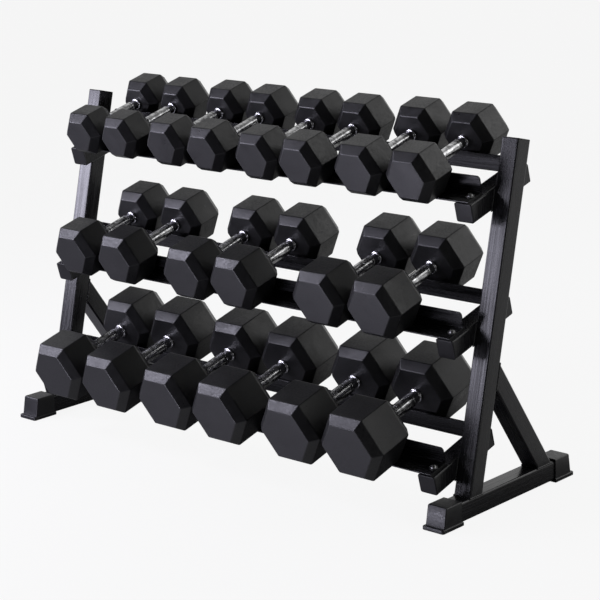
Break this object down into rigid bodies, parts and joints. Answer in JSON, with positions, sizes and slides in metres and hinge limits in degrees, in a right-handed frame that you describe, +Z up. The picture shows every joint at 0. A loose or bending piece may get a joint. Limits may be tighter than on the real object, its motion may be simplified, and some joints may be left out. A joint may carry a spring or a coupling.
{
  "type": "loaded dumbbell rack",
  "caption": "Three-tier steel rack on leaning end frames with angled rails, holding pairs of rubber-coated hexagonal dumbbells with chromed handles.",
  "frame": {"origin": "middle of the footprint of the whole loaded rack, on the floor", "axes": "+X along the rack to the viewer's right when facing its front, +Y from the front to the back, +Z up"},
  "size_m": [1.498, 0.6458, 0.9582],
  "materials": {
    "frame_paint": "satin charcoal powder coat",
    "boot_rubber": "matte black moulded rubber",
    "cap_plastic": "matte black moulded plastic",
    "zinc": "bright zinc plate",
    "head_rubber": "matte black vulcanised rubber",
    "handle_chrome": "knurled bright chrome"
  },
  "bodies": {
    "frame": {"left_upright": "frame_paint", "right_upright": "frame_paint", "left_foot": "frame_paint", "right_foot": "frame_paint", "left_brace": "frame_paint", "right_brace": "frame_paint", "left_brackets": "frame_paint", "right_brackets": "frame_paint", "top_front_rail": "frame_paint", "top_rear_rail": "frame_paint", "middle_front_rail": "frame_paint", "middle_rear_rail": "frame_paint", "bottom_front_rail": "frame_paint", "bottom_rear_rail": "frame_paint", "foot_boots": "boot_rubber", "upright_caps": "cap_plastic", "bracket_end_caps": "cap_plastic", "rail_bolts": "zinc", "rail_washers": "zinc", "rail_nuts": "zinc"},
    "dumbbell_top_1": {"dumbbell_top_1_heads": "head_rubber", "dumbbell_top_1_handle": "handle_chrome"},
    "dumbbell_top_2": {"dumbbell_top_2_heads": "head_rubber", "dumbbell_top_2_handle": "handle_chrome"},
    "dumbbell_top_3": {"dumbbell_top_3_heads": "head_rubber", "dumbbell_top_3_handle": "handle_chrome"},
    "dumbbell_top_4": {"dumbbell_top_4_heads": "head_rubber", "dumbbell_top_4_handle": "handle_chrome"},
    "dumbbell_top_5": {"dumbbell_top_5_heads": "head_rubber", "dumbbell_top_5_handle": "handle_chrome"},
    "dumbbell_top_6": {"dumbbell_top_6_heads": "head_rubber", "dumbbell_top_6_handle": "handle_chrome"},
    "dumbbell_top_7": {"dumbbell_top_7_heads": "head_rubber", "dumbbell_top_7_handle": "handle_chrome"},
    "dumbbell_top_8": {"dumbbell_top_8_heads": "head_rubber", "dumbbell_top_8_handle": "handle_chrome"},
    "dumbbell_middle_1": {"dumbbell_middle_1_heads": "head_rubber", "dumbbell_middle_1_handle": "handle_chrome"},
    "dumbbell_middle_2": {"dumbbell_middle_2_heads": "head_rubber", "dumbbell_middle_2_handle": "handle_chrome"},
    "dumbbell_middle_3": {"dumbbell_middle_3_heads": "head_rubber", "dumbbell_middle_3_handle": "handle_chrome"},
    "dumbbell_middle_4": {"dumbbell_middle_4_heads": "head_rubber", "dumbbell_middle_4_handle": "handle_chrome"},
    "dumbbell_middle_5": {"dumbbell_middle_5_heads": "head_rubber", "dumbbell_middle_5_handle": "handle_chrome"},
    "dumbbell_middle_6": {"dumbbell_middle_6_heads": "head_rubber", "dumbbell_middle_6_handle": "handle_chrome"},
    "dumbbell_bottom_1": {"dumbbell_bottom_1_heads": "head_rubber", "dumbbell_bottom_1_handle": "handle_chrome"},
    "dumbbell_bottom_2": {"dumbbell_bottom_2_heads": "head_rubber", "dumbbell_bottom_2_handle": "handle_chrome"},
    "dumbbell_bottom_3": {"dumbbell_bottom_3_heads": "head_rubber", "dumbbell_bottom_3_handle": "handle_chrome"},
    "dumbbell_bottom_4": {"dumbbell_bottom_4_heads": "head_rubber", "dumbbell_bottom_4_handle": "handle_chrome"},
    "dumbbell_bottom_5": {"dumbbell_bottom_5_heads": "head_rubber", "dumbbell_bottom_5_handle": "handle_chrome"},
    "dumbbell_bottom_6": {"dumbbell_bottom_6_heads": "head_rubber", "dumbbell_bottom_6_handle": "handle_chrome"}
  },
  "joints": [
    {"name": "dumbbell_top_1_lift", "type": "slide", "parent": "frame", "child": "dumbbell_top_1", "axis": [0, -0.2672, 0.9636], "range_m": [0, 0.15]},
    {"name": "dumbbell_top_2_lift", "type": "slide", "parent": "frame", "child": "dumbbell_top_2", "axis": [0, -0.2672, 0.9636], "range_m": [0, 0.15]},
    {"name": "dumbbell_top_3_lift", "type": "slide", "parent": "frame", "child": "dumbbell_top_3", "axis": [0, -0.2672, 0.9636], "range_m": [0, 0.15]},
    {"name": "dumbbell_top_4_lift", "type": "slide", "parent": "frame", "child": "dumbbell_top_4", "axis": [0, -0.2672, 0.9636], "range_m": [0, 0.15]},
    {"name": "dumbbell_top_5_lift", "type": "slide", "parent": "frame", "child": "dumbbell_top_5", "axis": [0, -0.2672, 0.9636], "range_m": [0, 0.15]},
    {"name": "dumbbell_top_6_lift", "type": "slide", "parent": "frame", "child": "dumbbell_top_6", "axis": [0, -0.2672, 0.9636], "range_m": [0, 0.15]},
    {"name": "dumbbell_top_7_lift", "type": "slide", "parent": "frame", "child": "dumbbell_top_7", "axis": [0, -0.2672, 0.9636], "range_m": [0, 0.15]},
    {"name": "dumbbell_top_8_lift", "type": "slide", "parent": "frame", "child": "dumbbell_top_8", "axis": [0, -0.2672, 0.9636], "range_m": [0, 0.15]},
    {"name": "dumbbell_middle_1_lift", "type": "slide", "parent": "frame", "child": "dumbbell_middle_1", "axis": [0, -0.2672, 0.9636], "range_m": [0, 0.06]},
    {"name": "dumbbell_middle_2_lift", "type": "slide", "parent": "frame", "child": "dumbbell_middle_2", "axis": [0, -0.2672, 0.9636], "range_m": [0, 0.06]},
    {"name": "dumbbell_middle_3_lift", "type": "slide", "parent": "frame", "child": "dumbbell_middle_3", "axis": [0, -0.2672, 0.9636], "range_m": [0, 0.06]},
    {"name": "dumbbell_middle_4_lift", "type": "slide", "parent": "frame", "child": "dumbbell_middle_4", "axis": [0, -0.2672, 0.9636], "range_m": [0, 0.06]},
    {"name": "dumbbell_middle_5_lift", "type": "slide", "parent": "frame", "child": "dumbbell_middle_5", "axis": [0, -0.2672, 0.9636], "range_m": [0, 0.06]},
    {"name": "dumbbell_middle_6_lift", "type": "slide", "parent": "frame", "child": "dumbbell_middle_6", "axis": [0, -0.2672, 0.9636], "range_m": [0, 0.06]},
    {"name": "dumbbell_bottom_1_lift", "type": "slide", "parent": "frame", "child": "dumbbell_bottom_1", "axis": [0, -0.2672, 0.9636], "range_m": [0, 0.06]},
    {"name": "dumbbell_bottom_2_lift", "type": "slide", "parent": "frame", "child": "dumbbell_bottom_2", "axis": [0, -0.2672, 0.9636], "range_m": [0, 0.06]},
    {"name": "dumbbell_bottom_3_lift", "type": "slide", "parent": "frame", "child": "dumbbell_bottom_3", "axis": [0, -0.2672, 0.9636], "range_m": [0, 0.06]},
    {"name": "dumbbell_bottom_4_lift", "type": "slide", "parent": "frame", "child": "dumbbell_bottom_4", "axis": [0, -0.2672, 0.9636], "range_m": [0, 0.06]},
    {"name": "dumbbell_bottom_5_lift", "type": "slide", "parent": "frame", "child": "dumbbell_bottom_5", "axis": [0, -0.2672, 0.9636], "range_m": [0, 0.06]},
    {"name": "dumbbell_bottom_6_lift", "type": "slide", "parent": "frame", "child": "dumbbell_bottom_6", "axis": [0, -0.2672, 0.9636], "range_m": [0, 0.06]}
  ]
}
